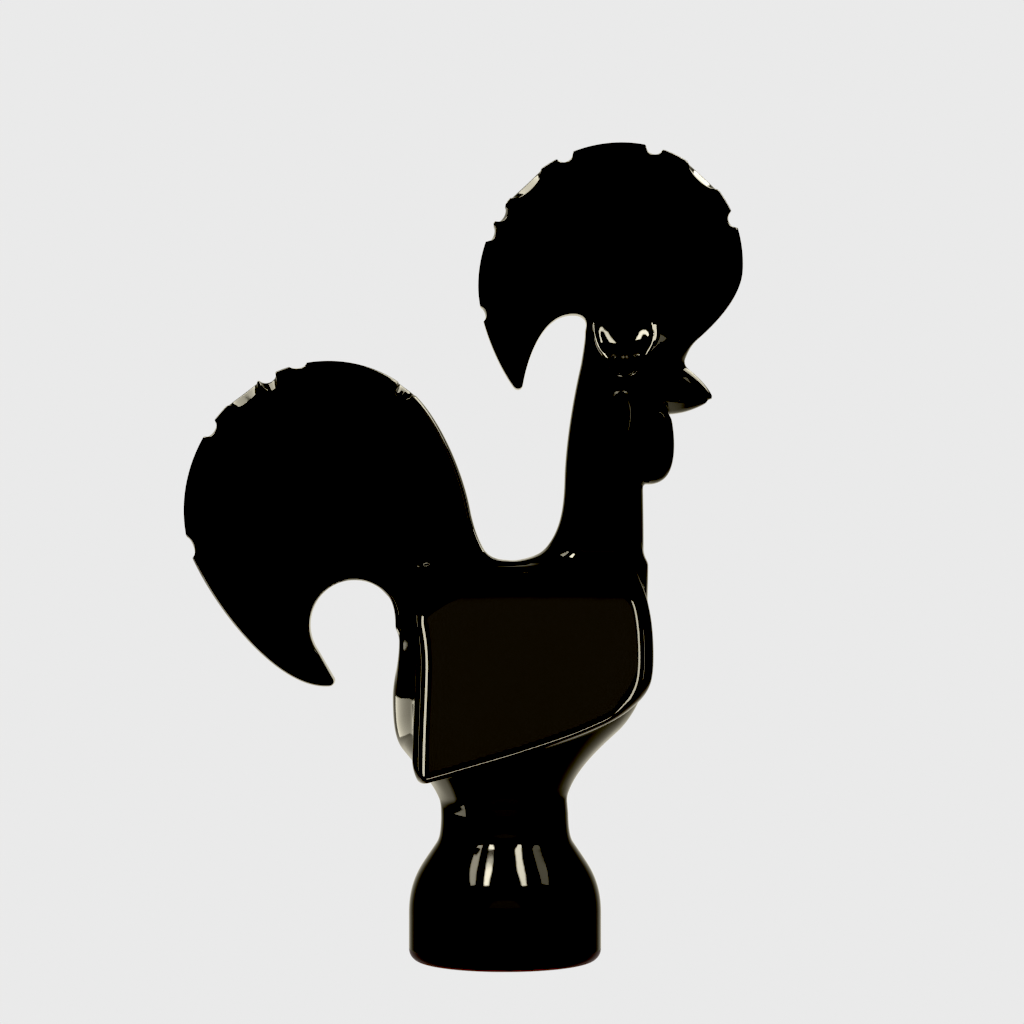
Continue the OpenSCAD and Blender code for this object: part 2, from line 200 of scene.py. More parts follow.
def ball(x, y, z, centre, radius):
    """Distance to a ball."""
    return np.sqrt((x - centre[0]) ** 2 + (y - centre[1]) ** 2 + (z - centre[2]) ** 2) - radius


# Foot

EDGE_R = 3.0
WAIST_R = 15.5
LIP_H = 3.0
RING_W = 4.0


def bell(inset):
    """Half section of the bell foot's side from its shoulder to its waist, moved inwards by inset."""
    shoulder = [FOOT_R - 3.9, 25]
    crease = [WAIST_R + 1.35, 29.8]
    side = np.concatenate([
        bezier([FOOT_R, 12], [FOOT_R, 17.5], [FOOT_R - 1.4, 21.3], shoulder),
        bezier(shoulder, [FOOT_R - 5.1, 26.8], [FOOT_R - 6.4, 28.7], crease, 20)[1:],
        bezier(crease, [WAIST_R + 0.8, 30.7], [WAIST_R + 0.1, 32.8], [WAIST_R, WAIST_Z], 20)[1:],
        [[WAIST_R - 0.4, WAIST_Z + 2], [WAIST_R - 2.5, WAIST_Z + 6]]])
    along = np.gradient(side, axis=0)
    along /= np.linalg.norm(along, axis=1)[:, None]
    return side + inset * np.stack([-along[:, 1], along[:, 0]], 1)


def revolved(half_section):
    """Closed outline from a half section and its mirror image, for solids of revolution."""
    mirrored = half_section[::-1] * [-1, 1]
    return Outline(np.concatenate([half_section, mirrored]))


FOOT = revolved(np.concatenate([[[0, 0]], arc([FOOT_R - EDGE_R, EDGE_R], EDGE_R, -90, 0), bell(0)]))
MOUTH_R = FOOT_R - EDGE_R - RING_W
FOOT_HOLLOW = revolved(np.concatenate([
    [[0, -8], [MOUTH_R, -8], [MOUTH_R, LIP_H], [FOOT_R - WALL, LIP_H + WALL]],
    bell(WALL)]))

# Torso, from inside the foot up the breast, along the back and down the rump

BREAST_X = WING_HIGH[0] - 0.7
BELLY = [28.5, WAIST_Z + 20.6]
BREAST = [BREAST_X, WAIST_Z + 38]
RUMP = [-RUMP_X, BACK_Z - 33]
UNDER_RUMP = [-26, WAIST_Z + 16.5]
TORSO = Outline(np.concatenate([
    [[-15.0, WAIST_Z - 15], [15.0, WAIST_Z - 15], [15.0, WAIST_Z]],
    bezier([15.0, WAIST_Z + 1], [15.3, WAIST_Z + 9], [23.5, WAIST_Z + 16], BELLY),
    bezier(BELLY, [32, WAIST_Z + 24], [BREAST_X, WAIST_Z + 31], BREAST),
    bezier(BREAST, [BREAST_X, WAIST_Z + 46], [THROAT_X, BACK_Z - 10], [THROAT_X, BACK_Z]),
    [[THROAT_X - 2, BACK_Z]],
    bezier([-12, BACK_Z], [-22, BACK_Z], [-25.5, BACK_Z - 4], [-26, BACK_Z - 14]),
    bezier([-26.2, BACK_Z - 18.75], [-26.3, BACK_Z - 24], [-RUMP_X, BACK_Z - 28], RUMP),
    bezier(RUMP, [-RUMP_X, BACK_Z - 38.5], [-27.6, WAIST_Z + 19], UNDER_RUMP),
    bezier(UNDER_RUMP, [-22.4, WAIST_Z + 11.5], [-15.8, WAIST_Z + 6.5], [-15.4, WAIST_Z - 1])]))
TORSO_HALF = 17.0
TORSO_HALF_LOW = 14.4
BACK_EDGE_R = 17.0

# Wing: a tall slab with broad round edges, and the space below its slanting lower edge

WING_BREAST = [WING_HIGH[0], WAIST_Z + 40]
WING_HIND_TOP = [-24.7, BACK_Z - 9]
WING_HIND = [-22, BACK_Z - 24]
WING = Outline(np.concatenate([
    [[-22.7, WAIST_Z], [20, WAIST_Z]],
    bezier([24, WAIST_Z + 14], [29, WAIST_Z + 20], [30.6, WAIST_Z + 24.6], [32.6, WAIST_Z + 27]),
    bezier([32.6, WAIST_Z + 27], [36, WAIST_Z + 31], [WING_HIGH[0], WAIST_Z + 35], WING_BREAST),
    bezier(WING_BREAST, [WING_HIGH[0], BACK_Z - 11], [THROAT_X, BACK_Z - 6], [THROAT_X - 3, BACK_Z]),
    [[-14, BACK_Z]],
    bezier([-26, BACK_Z - 0.5], [-32, BACK_Z - 3.5], [-27, BACK_Z - 6], WING_HIND_TOP),
    bezier(WING_HIND_TOP, [-23, BACK_Z - 14], [-22.1, BACK_Z - 18], WING_HIND),
    bezier(WING_HIND, [-22.1, BACK_Z - 32], [-22.7, BACK_Z - 42], [-22.7, WAIST_Z + 12])]))
WING_BELOW = Outline(np.concatenate([
    [[-40, WAIST_Z - 6], [46, WAIST_Z - 6], [46, WAIST_Z + 44]],
    bezier([40, WAIST_Z + 36], [33.6, WAIST_Z + 24], [16, WAIST_Z + 18.6], [-19, WAIST_Z + 8.8]),
    arc([-19.8, WAIST_Z + 11.1], 2.4, 285, 215, 10),
    [[-24, WAIST_Z + 12.7], [-40, WAIST_Z + 20]]]))
WING_EDGE_R = 5.0
WING_TOP_R = 6.5
WING_LEAN = 0.125
WING_SEAT_Y = 12.0

# Neck and head, up the throat and over the crown, then down the nape

THROAT = [THROAT_X - 0.3, HEAD_Z]
CHIN = [41.5, HEAD_Z + 20.5]
FACE = [44.2, HEAD_Z + 34]
NAPE_TOP = [20.9, CROWN_Z - 2]
NAPE = [14.9, HEAD_Z + 3]
NECK_FLARE = [9, BACK_Z + 3]
COLUMN = Outline(np.concatenate([
    bezier([THROAT_X - 2, BACK_Z - 12], [THROAT_X, BACK_Z - 8], [THROAT_X, BACK_Z], THROAT),
    bezier([THROAT_X - 0.3, HEAD_Z + 4], [THROAT_X, HEAD_Z + 12], [39, HEAD_Z + 18.5], CHIN),
    bezier(CHIN, [44.4, HEAD_Z + 23], [44.6, HEAD_Z + 30], FACE),
    bezier(FACE, [43.6, CROWN_Z - 2], [40.5, CROWN_Z + 0.5], [36, CROWN_Z + 1.5]),
    bezier([24.5, CROWN_Z + 1.5], [22, CROWN_Z + 1.5], [21.2, CROWN_Z], NAPE_TOP),
    bezier(NAPE_TOP, [19, CROWN_Z - 7], [15.4, HEAD_Z + 16], NAPE),
    bezier(NAPE, [14.7, BACK_Z + 14], [14, BACK_Z + 8], NECK_FLARE),
    bezier(NECK_FLARE, [6, BACK_Z + 0.6], [2, BACK_Z - 0.6], [-1, BACK_Z - 1.5]),
    [[2, BACK_Z - 12]]]))
HEAD_HALF = 10.4
COLUMN_EDGE_R = 8.6

# Comb and tail, round their scalloped rims

COMB_R = 32.85
COMB_LEAN = 1.4
COMB_C = np.array([COMB_HIGH[0] - COMB_R - 0.2, COMB_HIGH[2] - COMB_R - 0.15])
HORN = np.array([3.25, COMB_LOW[2] + 1.2])
COMB_ARCH = np.array([16.75, CROWN_Z + 3.75])
comb_rim = rim(COMB_C, COMB_R, COMB_LEAN, 0, 3, 188)
COMB = Outline(np.concatenate([
    comb_rim,
    bezier(comb_rim[-1], comb_rim[-1] + [0.6, -8], HORN + [-5, 4.75], HORN + [-1, -0.7]),
    arc(HORN, 1.2, 235, 350, 10),
    bezier(HORN + [1.2, 0], HORN + [2.2, 6], COMB_ARCH + [-7.75, 0], COMB_ARCH),
    bezier(COMB_ARCH + [0.5, 0], COMB_ARCH + [2.75, 0], [21.75, CROWN_Z + 2], [21.25, CROWN_Z]),
    [[22.5, CROWN_Z - 6], [42, CROWN_Z - 6]],
    bezier([44.25, CROWN_Z - 5.5], [51, CROWN_Z - 0.5], comb_rim[0] + [0, -7.75], comb_rim[0])]))

TAIL_R = 34.15
TAIL_LEAN = 1.3
TAIL_TURN = 20
TAIL_C = np.array([-46.25, BACK_Z + 16.25])
ARCH_R = 11.25
ARCH_C = np.array([-37.5, BACK_Z - 15])
TIP = np.array([-44.75, TAIL_LOW[2]])
tail_rim = rim(TAIL_C, TAIL_R, TAIL_LEAN, TAIL_TURN, 50, 205)
KNEE = np.array([-8.25, BACK_Z + 11.75])
TAIL = Outline(np.concatenate([
    tail_rim,
    bezier(tail_rim[-1], tail_rim[-1] + [6.3, -13.6], TIP + [-12, 0], TIP),
    arc(TIP + [1, 1.25], 1.25, -80, 45, 10),
    arc(ARCH_C, ARCH_R, 215, 0, 120),
    [[-22, BACK_Z - 15], [-18, BACK_Z - 6], [-4, BACK_Z - 5], [-2, BACK_Z - 2]],
    bezier([-0.5, BACK_Z - 0.4], [-5, BACK_Z + 1.25], [-7, BACK_Z + 6.75], KNEE),
    bezier(KNEE + [-0.25, 1], KNEE + [-2, 11.5], tail_rim[0] + [6.9, -5.8], tail_rim[0])]))
PLATE_HALF = (COMB_HIGH[1] - COMB_LOW[1]) / 2
COMB_EDGE_R = 0.9
TAIL_EDGE_R = 1.2
TAIL_FRONT_R = 3.2

# Scoops in the rims, each by its direction in degrees, its half width along the rim,
# and its depth in the middle of the rim and at a face

COMB_SCOOPS = [(24, 2.0, 1.3, 1.9), (47, 5.0, 0.4, 2.3), (71, 2.1, 1.5, 2.1), (111, 2.1, 1.4, 1.9),
               (133, 5.2, 0.5, 2.8), (151, 2.2, 1.3, 2.2), (161, 2.1, 1.2, 1.8), (197, 1.7, 0.9, 1.3)]
TAIL_SCOOPS = [(52, 2.6, 0.3, 3.6), (99, 2.0, 0.8, 1.2), (113, 2.2, 1.6, 4.4), (126, 4.6, 0.4, 3.6),
               (147, 2.3, 1.3, 2.0), (200, 2.6, 0.9, 1.5)]


def scoops(x, y, z, centre, radius, lean, turn, rows):
    """Above 0 in the space that the scoops take out of a rim, which slope down to both faces."""
    space = -99.0
    slant = np.minimum(np.abs(y) / PLATE_HALF, 1.2)
    for angle, along, rim_depth, face_depth in rows:
        a = math.radians(angle)
        r = radius + lean * math.sin(math.radians(2 * angle - turn))
        dx, dz = x - centre[0], z - centre[1]
        out = dx * math.cos(a) + dz * math.sin(a) - r
        window = 1 - ((-dx * math.sin(a) + dz * math.cos(a)) / along) ** 2
        depth = mix(rim_depth, face_depth, slant) * np.sqrt(np.maximum(window, 0))
        space = np.maximum(space, 0.8 * (out + np.where(window > 0, depth, 6 * np.maximum(window, -4))))
    return space


# Small pieces of the face

EYE_C = np.array([29.7, 9.6, (EYE_LOW[2] + EYE_HIGH[2]) / 2])
EYE_R = (EYE_HIGH[2] - EYE_LOW[2]) / 2
GROOVE_R = 0.6
GROOVE_GAP = 0.8
GROOVE_DEPTH = 0.9
LOBE_C = (LOBE_LOW + LOBE_HIGH) / 2
LOBE_H, LOBE_W = (LOBE_HIGH[2] - LOBE_LOW[2]) / 2, (LOBE_HIGH[0] - LOBE_LOW[0]) / 2
LOBE = Outline(np.concatenate([
    bezier([LOBE_C[0] - 1.6, LOBE_C[2] - LOBE_H], [LOBE_C[0] + 2, LOBE_C[2] - LOBE_H * 0.9],
           [LOBE_C[0] + LOBE_W, LOBE_C[2] - LOBE_H * 0.5], [LOBE_C[0] + LOBE_W, LOBE_C[2] + 1]),
    bezier([LOBE_C[0] + LOBE_W, LOBE_C[2] + 1], [LOBE_C[0] + LOBE_W, LOBE_C[2] + LOBE_H * 1.2],
           [LOBE_C[0] - LOBE_W, LOBE_C[2] + LOBE_H * 1.2], [LOBE_C[0] - LOBE_W, LOBE_C[2] + 1]),
    bezier([LOBE_C[0] - LOBE_W, LOBE_C[2] + 1], [LOBE_C[0] - LOBE_W, LOBE_C[2] - LOBE_H * 0.5],
           [LOBE_C[0] - 3.4, LOBE_C[2] - LOBE_H * 0.9], [LOBE_C[0] - 1.6, LOBE_C[2] - LOBE_H])]))
LOBE_Y = 9.5
LOBE_HALF = 1.7
LOBE_EDGE_R = 1.5
DISH_C = np.array([29.2, 16.5, CROWN_Z + 6.0])
DISH_R = 14.3
WATTLE_TOP = WATTLE_HIGH[2] + 1.5
DROP_Z = WATTLE_LOW[2]
WATTLE = Outline(np.concatenate([
    bezier([31, DROP_Z + 3], [33, DROP_Z], [37, DROP_Z - 0.6], [39.6, DROP_Z + 1.6]),
    bezier([39.6, DROP_Z + 1.6], [42.3, DROP_Z + 4], [42.6, DROP_Z + 10], [41.6, WATTLE_TOP - 3]),
    bezier([41.6, WATTLE_TOP - 3], [41, WATTLE_TOP], [37, WATTLE_TOP + 2], [33, WATTLE_TOP])]))
WATTLE_Y = 3.3
WATTLE_HALF = 3.1
WATTLE_EDGE_R = 3.0
MOUTH_Z = BEAK_LOW[2]
BEAK_TIP = np.array([BEAK_HIGH[0], MOUTH_Z + 0.4])
UPPER_BEAK = Outline(np.concatenate([
    [[38, MOUTH_Z], [47, MOUTH_Z - 0.3]],
    bezier([49, MOUTH_Z - 0.3], [51, MOUTH_Z - 0.2], BEAK_TIP + [0.2, -0.5], BEAK_TIP),
    bezier(BEAK_TIP + [-0.2, 0.4], BEAK_TIP + [-1.6, 3.2], [48, MOUTH_Z + 5.8], [45.4, MOUTH_Z + 7.8]),
    [[42, MOUTH_Z + 10.5], [37, MOUTH_Z + 10]]]))
LOWER_BEAK = Outline(np.concatenate([
    bezier([36, MOUTH_Z - 3.6], [41, MOUTH_Z - 4.2], [45, MOUTH_Z - 4], [50.6, MOUTH_Z - 0.9]),
    [[50.8, MOUTH_Z - 0.4], [38, MOUTH_Z - 0.1], [36, MOUTH_Z - 0.6]]]))
BEAK_ROOT_HALF = 6.4
BEAK_TIP_HALF = 0.9

# Width of the slip fillet where each piece joins the rest

WAIST_FILLET = 2.0
FILLETS = {"wing": 1.2, "column": 4.5, "tail": 4.0, "comb": 5.0}
FACE_FILLETS = {"upper_beak": 1.6, "lower_beak": 0.7, "wattle": 1.4, "ear_lobe": 1.2}
BACK_FILLET = 16.0
NECK_FILLET = 5.0


def lobe_field(x, side, z):
    """Distance to the ear lobe on either side."""
    return pillow(LOBE(x, z), np.abs(side - LOBE_Y), LOBE_HALF, LOBE_EDGE_R)


def fields(x, y, z):
    """Distance to each group of pieces."""
    side = np.abs(y)
    torso_half = mix(TORSO_HALF_LOW, TORSO_HALF, smooth((z - WAIST_Z) / 34))
    top = smooth((z - BACK_Z + 11.5) / 12)
    front = smooth((x + 32) / 14) * smooth((z - BACK_Z - 4) / 12)
    head_half = mix(NECK_R, HEAD_HALF, smooth((z - HEAD_Z) / 20)) * (1 - 0.42 * smooth((x - 32) / 12))
    column_edge = np.minimum(COLUMN_EDGE_R, head_half - 0.3)
    beak_reach = np.clip((x - 40) / (BEAK_TIP[0] - 40), 0, 1)
    beak_half = mix(BEAK_ROOT_HALF, BEAK_TIP_HALF, beak_reach ** 1.3)
    rise = np.clip((z - MOUTH_Z) / 9, 0, 1)
    upper_half = beak_half * (1 - 0.62 * rise ** 1.6)
    lower_half = beak_half * np.clip(1 - (MOUTH_Z - z) / 4.8, 0.15, 1)
    turn_in = smooth((z - BACK_Z + 12 - 0.8 * (x + 16)) / 24)
    wing_half = WING_Y - 0.1 - WING_LEAN * (z - WING_LOW[2]) - 0.6 * top - 11 * turn_in
    found = {
        "foot": FOOT(np.hypot(x, y), z),
        "torso": pillow(TORSO(x, z), side, torso_half, mix(torso_half - 1.0, BACK_EDGE_R, top)),
        "wing": soft_max(soft_max(pillow(WING(x, z), side, wing_half, mix(WING_EDGE_R, WING_TOP_R, top)),
                                  -WING_BELOW(x, z), 2.4),
                         WING_SEAT_Y - side - 12 * np.maximum(top, turn_in), 2.0),
        "column": soft_max(pillow(COLUMN(x, z), side, head_half, column_edge),
                           -ball(x, side, z, DISH_C, DISH_R), 2.0),
        "comb": pillow(COMB(x, z), side, PLATE_HALF, COMB_EDGE_R),
        "tail": pillow(TAIL(x, z), side, PLATE_HALF, mix(TAIL_EDGE_R, TAIL_FRONT_R, front)),
        "upper_beak": pillow(UPPER_BEAK(x, z), side, upper_half, np.minimum(upper_half, 3.0) - 0.1),
        "lower_beak": pillow(LOWER_BEAK(x, z), side, lower_half, np.minimum(lower_half, 0.9) - 0.05),
        "wattle": pillow(WATTLE(x, z), np.abs(side - WATTLE_Y), WATTLE_HALF, WATTLE_EDGE_R),
        "eye": ball(x, side, z, EYE_C, EYE_R),
        "ear_lobe": lobe_field(x, side, z),
    }
    comb_cuts = scoops(x, y, z, COMB_C, COMB_R, COMB_LEAN, 0, COMB_SCOOPS)
    tail_cuts = scoops(x, y, z, TAIL_C, TAIL_R, TAIL_LEAN, TAIL_TURN, TAIL_SCOOPS)
    found["comb"] = soft_max(found["comb"], comb_cuts, 0.8)
    found["tail"] = soft_max(found["tail"], tail_cuts, 0.8)
    return found


def solid(x, y, z, found=None):
    """Distance to the glazed surface and the hollow's surface, below 0 in the clay."""
    f = found or fields(x, y, z)
    rooster = soft_min(f["foot"], f["torso"], WAIST_FILLET)
    hollow = soft_min(FOOT_HOLLOW(np.hypot(x, y), z), np.maximum(f["torso"] + WALL, z - BACK_Z + 9), 3.0)
    for name, width in FILLETS.items():
        rooster = soft_min(rooster, f[name], width)
    profile = soft_min(TORSO(x, z), TAIL(x, z), FILLETS["tail"])
    profile = soft_min(profile, COLUMN(x, z), FILLETS["column"])
    broad = soft_min(soft_min(f["torso"], f["tail"], BACK_FILLET), f["column"], NECK_FILLET)
    rooster = np.minimum(rooster, soft_max(broad, pillow(profile, np.abs(y), 16.0, 8.0), 1.0))
    for name, width in FACE_FILLETS.items():
        rooster = soft_min(rooster, f[name], width)
    across = np.abs(y) - EYE_C[1] - GROOVE_DEPTH
    around = np.hypot(x - EYE_C[0], z - EYE_C[2]) - EYE_R - GROOVE_GAP
    rooster = soft_max(rooster, GROOVE_R - np.hypot(around, across), 0.6)
    rooster = soft_min(rooster, f["eye"], 0.3)
    return soft_max(rooster, -hollow, 0.8)


def labels(x, y, z, found):
    """Number of the piece that each point of the clay belongs to."""
    names = list(found)
    shape = np.broadcast_shapes(np.shape(x), np.shape(y), np.shape(z))
    stack = np.stack([np.broadcast_to(found[n], shape) for n in names])
    nearest = stack.argmin(0)
    left = np.broadcast_to(y > 0, shape)
    low = np.broadcast_to(z < WAIST_Z, shape)
    below_head = np.broadcast_to(z < HEAD_Z, shape)
    label = np.zeros(shape, np.uint8)
    for i, name in enumerate(names):
        here = nearest == i
        if name in ("foot", "torso"):
            label[here & low] = LABEL["foot"]
            label[here & ~low] = LABEL["torso"]
        elif name == "column":
            label[here & below_head] = LABEL["neck"]
            label[here & ~below_head] = LABEL["head"]
        elif name in LABEL:
            label[here] = LABEL[name]
        else:
            label[here & left] = LABEL["left_" + name]
            label[here & ~left] = LABEL["right_" + name]
    return label


# One mesh over the field, shared out to the pieces

def gradient(points, h=0.06):
    """Value and gradient of the solid field, from four points round each point."""
    corners = np.array([[1, -1, -1], [-1, -1, 1], [-1, 1, -1], [1, 1, 1]], float)
    value, slope = 0.0, np.zeros_like(points)
    for corner in corners:
        at = points + corner * h
        f = solid(at[:, 0], at[:, 1], at[:, 2])
        value = value + f / 4
        slope += corner * f[:, None] / (4 * h)
    return value, slope


def draw_pieces():
    """Vertices, their normals and the faces of each piece, from surface nets over the labelled field."""
    low = np.array([TAIL_LOW[0], -FOOT_R, 0.0]) - 3 * MESH_STEP
    high = np.array([COMB_HIGH[0], FOOT_R, COMB_HIGH[2]]) + 3 * MESH_STEP
    low[1] = -(math.ceil(-low[1] / MESH_STEP) + 0.5) * MESH_STEP
    count = np.ceil((high - low) / MESH_STEP).astype(int) + 1
    x, y, z = (low[a] + MESH_STEP * np.arange(count[a]) for a in range(3))
    value = np.empty(count, np.float32)
    label = np.zeros(count, np.uint8)
    for start in range(0, count[2], 40):
        part = slice(start, start + 40)
        at = x[:, None, None], y[None, :, None], z[None, None, part]
        found = fields(*at)
        value[:, :, part] = solid(*at, found)
        label[:, :, part] = labels(*at, found)
    label[value > 0] = 0

    base = label[:-1, :-1, :-1]
    active = np.zeros(base.shape, bool)
    shifts = [(i, j, k) for i in (0, 1) for j in (0, 1) for k in (0, 1)]
    last = [s - 1 for s in label.shape]

    def shifted(grid, s):
        return grid[s[0]:last[0] + s[0], s[1]:last[1] + s[1], s[2]:last[2] + s[2]]

    for s in shifts[1:]:
        active |= shifted(label, s) != base
    cells = np.argwhere(active)
    index = np.full(base.shape, -1, np.int64)
    index[active] = np.arange(len(cells))
    corner_value = np.stack([shifted(value, s)[active] for s in shifts], 1).astype(float)
    corner_label = np.stack([shifted(label, s)[active] for s in shifts], 1)
    total = np.zeros((len(cells), 3))
    weight = np.zeros(len(cells))
    for a, sa in enumerate(shifts):
        for b, sb in enumerate(shifts):
            if sum(abs(p - q) for p, q in zip(sa, sb)) != 1 or b < a:
                continue
            skin = (corner_label[:, a] == 0) != (corner_label[:, b] == 0)
            inner = (corner_label[:, a] != corner_label[:, b]) & ~skin
            span = corner_value[:, b] - corner_value[:, a]
            t = np.where(skin, -corner_value[:, a] / np.where(skin, span, 1), 0.5)
            w = np.where(skin, 1.0, np.where(inner, 1e-3, 0.0))
            cross = np.array(sa) + t[:, None] * (np.array(sb) - np.array(sa))
            total += w[:, None] * cross
            weight += w
    points = low + MESH_STEP * (cells + total / weight[:, None])
    skin = (corner_label == 0).any(1)

    on_skin = points[skin]
    for _ in range(2):
        f, slope = gradient(on_skin)
        step = (f / np.maximum((slope ** 2).sum(1), 0.2))[:, None] * slope
        on_skin = on_skin - np.clip(step, -MESH_STEP / 2, MESH_STEP / 2)
    points[skin] = on_skin
    normals = np.zeros_like(points)
    slope = gradient(on_skin)[1]
    normals[skin] = slope / np.linalg.norm(slope, axis=1)[:, None]

    faces = {n: [] for n in LABEL.values()}
    glazed = {n: [] for n in LABEL.values()}
    for axis in range(3):
        u, v = (axis + 1) % 3, (axis + 2) % 3
        ends = [slice(1, -1)] * 3
        first, second = list(ends), list(ends)
        first[axis], second[axis] = slice(0, -1), slice(1, None)
        one, two = label[tuple(first)], label[tuple(second)]
        at = np.argwhere(one != two)
        one, two = one[tuple(at.T)], two[tuple(at.T)]
        cell = at.copy()
        cell[:, u] += 1
        cell[:, v] += 1
        quad = []
        for du, dv in ((-1, -1), (0, -1), (0, 0), (-1, 0)):
            c = cell.copy()
            c[:, u] += du
            c[:, v] += dv
            quad.append(index[tuple(c.T)])
        quad = np.stack(quad, 1)
        for number in LABEL.values():
            up, down = one == number, two == number
            faces[number].append(np.concatenate([quad[up], quad[down][:, ::-1]]))
            glazed[number].append(np.concatenate([two[up] == 0, one[down] == 0]))
    return points, normals, {n: np.concatenate(f) for n, f in faces.items()}, \
        {n: np.concatenate(g) for n, g in glazed.items()}


def bend(points, normals):
    """How sharply the surface turns at each point, above 0 on edges and below 0 in hollows."""
    reach = 0.9
    u = np.cross(normals, np.where(np.abs(normals[:, 2:]) < 0.9, [[0, 0, 1]], [[1, 0, 0]]))
    u /= np.linalg.norm(u, axis=1)[:, None]
    v = np.cross(normals, u)
    total = 0.0
    for way in (u, v):
        for sign in (1, -1):
            at = points + way * sign * reach
            total = total + solid(at[:, 0], at[:, 1], at[:, 2])
    return total / (reach * reach)


def build_pieces():
    points, normals, faces, glazed = draw_pieces()
    skin = np.linalg.norm(normals, axis=1) > 0.5
    turn = np.zeros(len(points))
    turn[skin] = bend(points[skin], normals[skin])
    hollow = FOOT_HOLLOW(np.hypot(points[:, 0], points[:, 1]), points[:, 2])
    inside = np.clip(1.2 - hollow, 0, 1)
    beside = np.stack([points[:, 0], np.abs(points[:, 1]), points[:, 2]], 1)
    dull = np.clip((4.4 - np.linalg.norm(beside - EYE_C, axis=1)) / 1.2, 0, 1)
    dull = np.maximum(dull, 0.8 * np.clip(1.3 - lobe_field(*beside.T), 0, 1))
    made = {}
    for name in PIECES:
        quads = faces[LABEL[name]]
        outer = glazed[LABEL[name]]
        used, flat = np.unique(quads, return_inverse=True)
        quads = flat.reshape(-1, 4)
        mesh = bpy.data.meshes.new(name + "_glazed")
        mesh.from_pydata((points[used] * MM).tolist(), [], quads.tolist())
        mesh.polygons.foreach_set("use_smooth", np.ones(len(quads), bool))
        corner_normals = normals[used][quads].reshape(-1, 3)
        face_normals = np.empty(len(quads) * 3)
        mesh.polygons.foreach_get("normal", face_normals)
        face_normals = np.repeat(face_normals.reshape(-1, 3), 4, 0)
        joint = ~np.repeat(outer, 4)
        corner_normals[joint] = face_normals[joint]
        mesh.normals_split_custom_set(corner_normals.tolist())
        for key, data in (("edge", turn), ("clay", inside), ("dull", dull)):
            layer = mesh.attributes.new(key, "FLOAT", "POINT")
            layer.data.foreach_set("value", data[used].astype(np.float32))
        piece = bpy.data.objects.new(name + "_glazed", mesh)
        bpy.context.scene.collection.objects.link(piece)
        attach(piece, "root")
        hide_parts(name)
        made[name] = piece
    return made


# Materials

GLAZE_THICK = (0.0042, 0.0036, 0.0026, 1)
GLAZE_THIN = (0.016, 0.008, 0.004, 1)
CLAY_DARK = (0.26, 0.105, 0.055, 1)
CLAY_PALE = (0.42, 0.19, 0.11, 1)
CLAY_SMOKED = (0.16, 0.07, 0.045, 1)
GLAZE_IOR = 1.52


class Nodes:
    """A node tree that is filled with short calls."""

    def __init__(self, tree):
        self.tree = tree
        tree.nodes.clear()

    def add(self, kind, **settings):
        node = self.tree.nodes.new(kind)
        for key, value in settings.items():
            setattr(node, key, value)
        return node

    def link(self, out, into):
        self.tree.links.new(out, into)

    def math(self, operation, a, b=0.0, clamp=False):
        node = self.add("ShaderNodeMath", operation=operation, use_clamp=clamp)
        for socket, value in zip(node.inputs, (a, b)):
            if isinstance(value, bpy.types.NodeSocket):
                self.link(value, socket)
            else:
                socket.default_value = value
        return node.outputs[0]

    def blend(self, factor, a, b):
        node = self.add("ShaderNodeMix", data_type="RGBA")
        for socket, value in ((node.inputs["Factor"], factor), (node.inputs[6], a), (node.inputs[7], b)):
            if isinstance(value, bpy.types.NodeSocket):
                self.link(value, socket)
            else:
                socket.default_value = value
        return node.outputs[2]

    def ramp(self, value, stops):
        """Straight lines between stops of value and result."""
        result = None
        for (a, low), (b, high) in zip(stops, stops[1:]):
            node = self.add("ShaderNodeMapRange")
            for socket, number in zip(node.inputs[1:5], (a, b, 0.0, high - low)):
                socket.default_value = number
            self.link(value, node.inputs[0])
            result = node.outputs[0] if result is None else self.math("ADD", result, node.outputs[0])
        return self.math("ADD", result, stops[0][1])

    def noise(self, vector, scale, detail=3.0):
        node = self.add("ShaderNodeTexNoise")
        node.inputs["Scale"].default_value = scale
        node.inputs["Detail"].default_value = detail
        self.link(vector, node.inputs["Vector"])
        return node.outputs["Fac"]


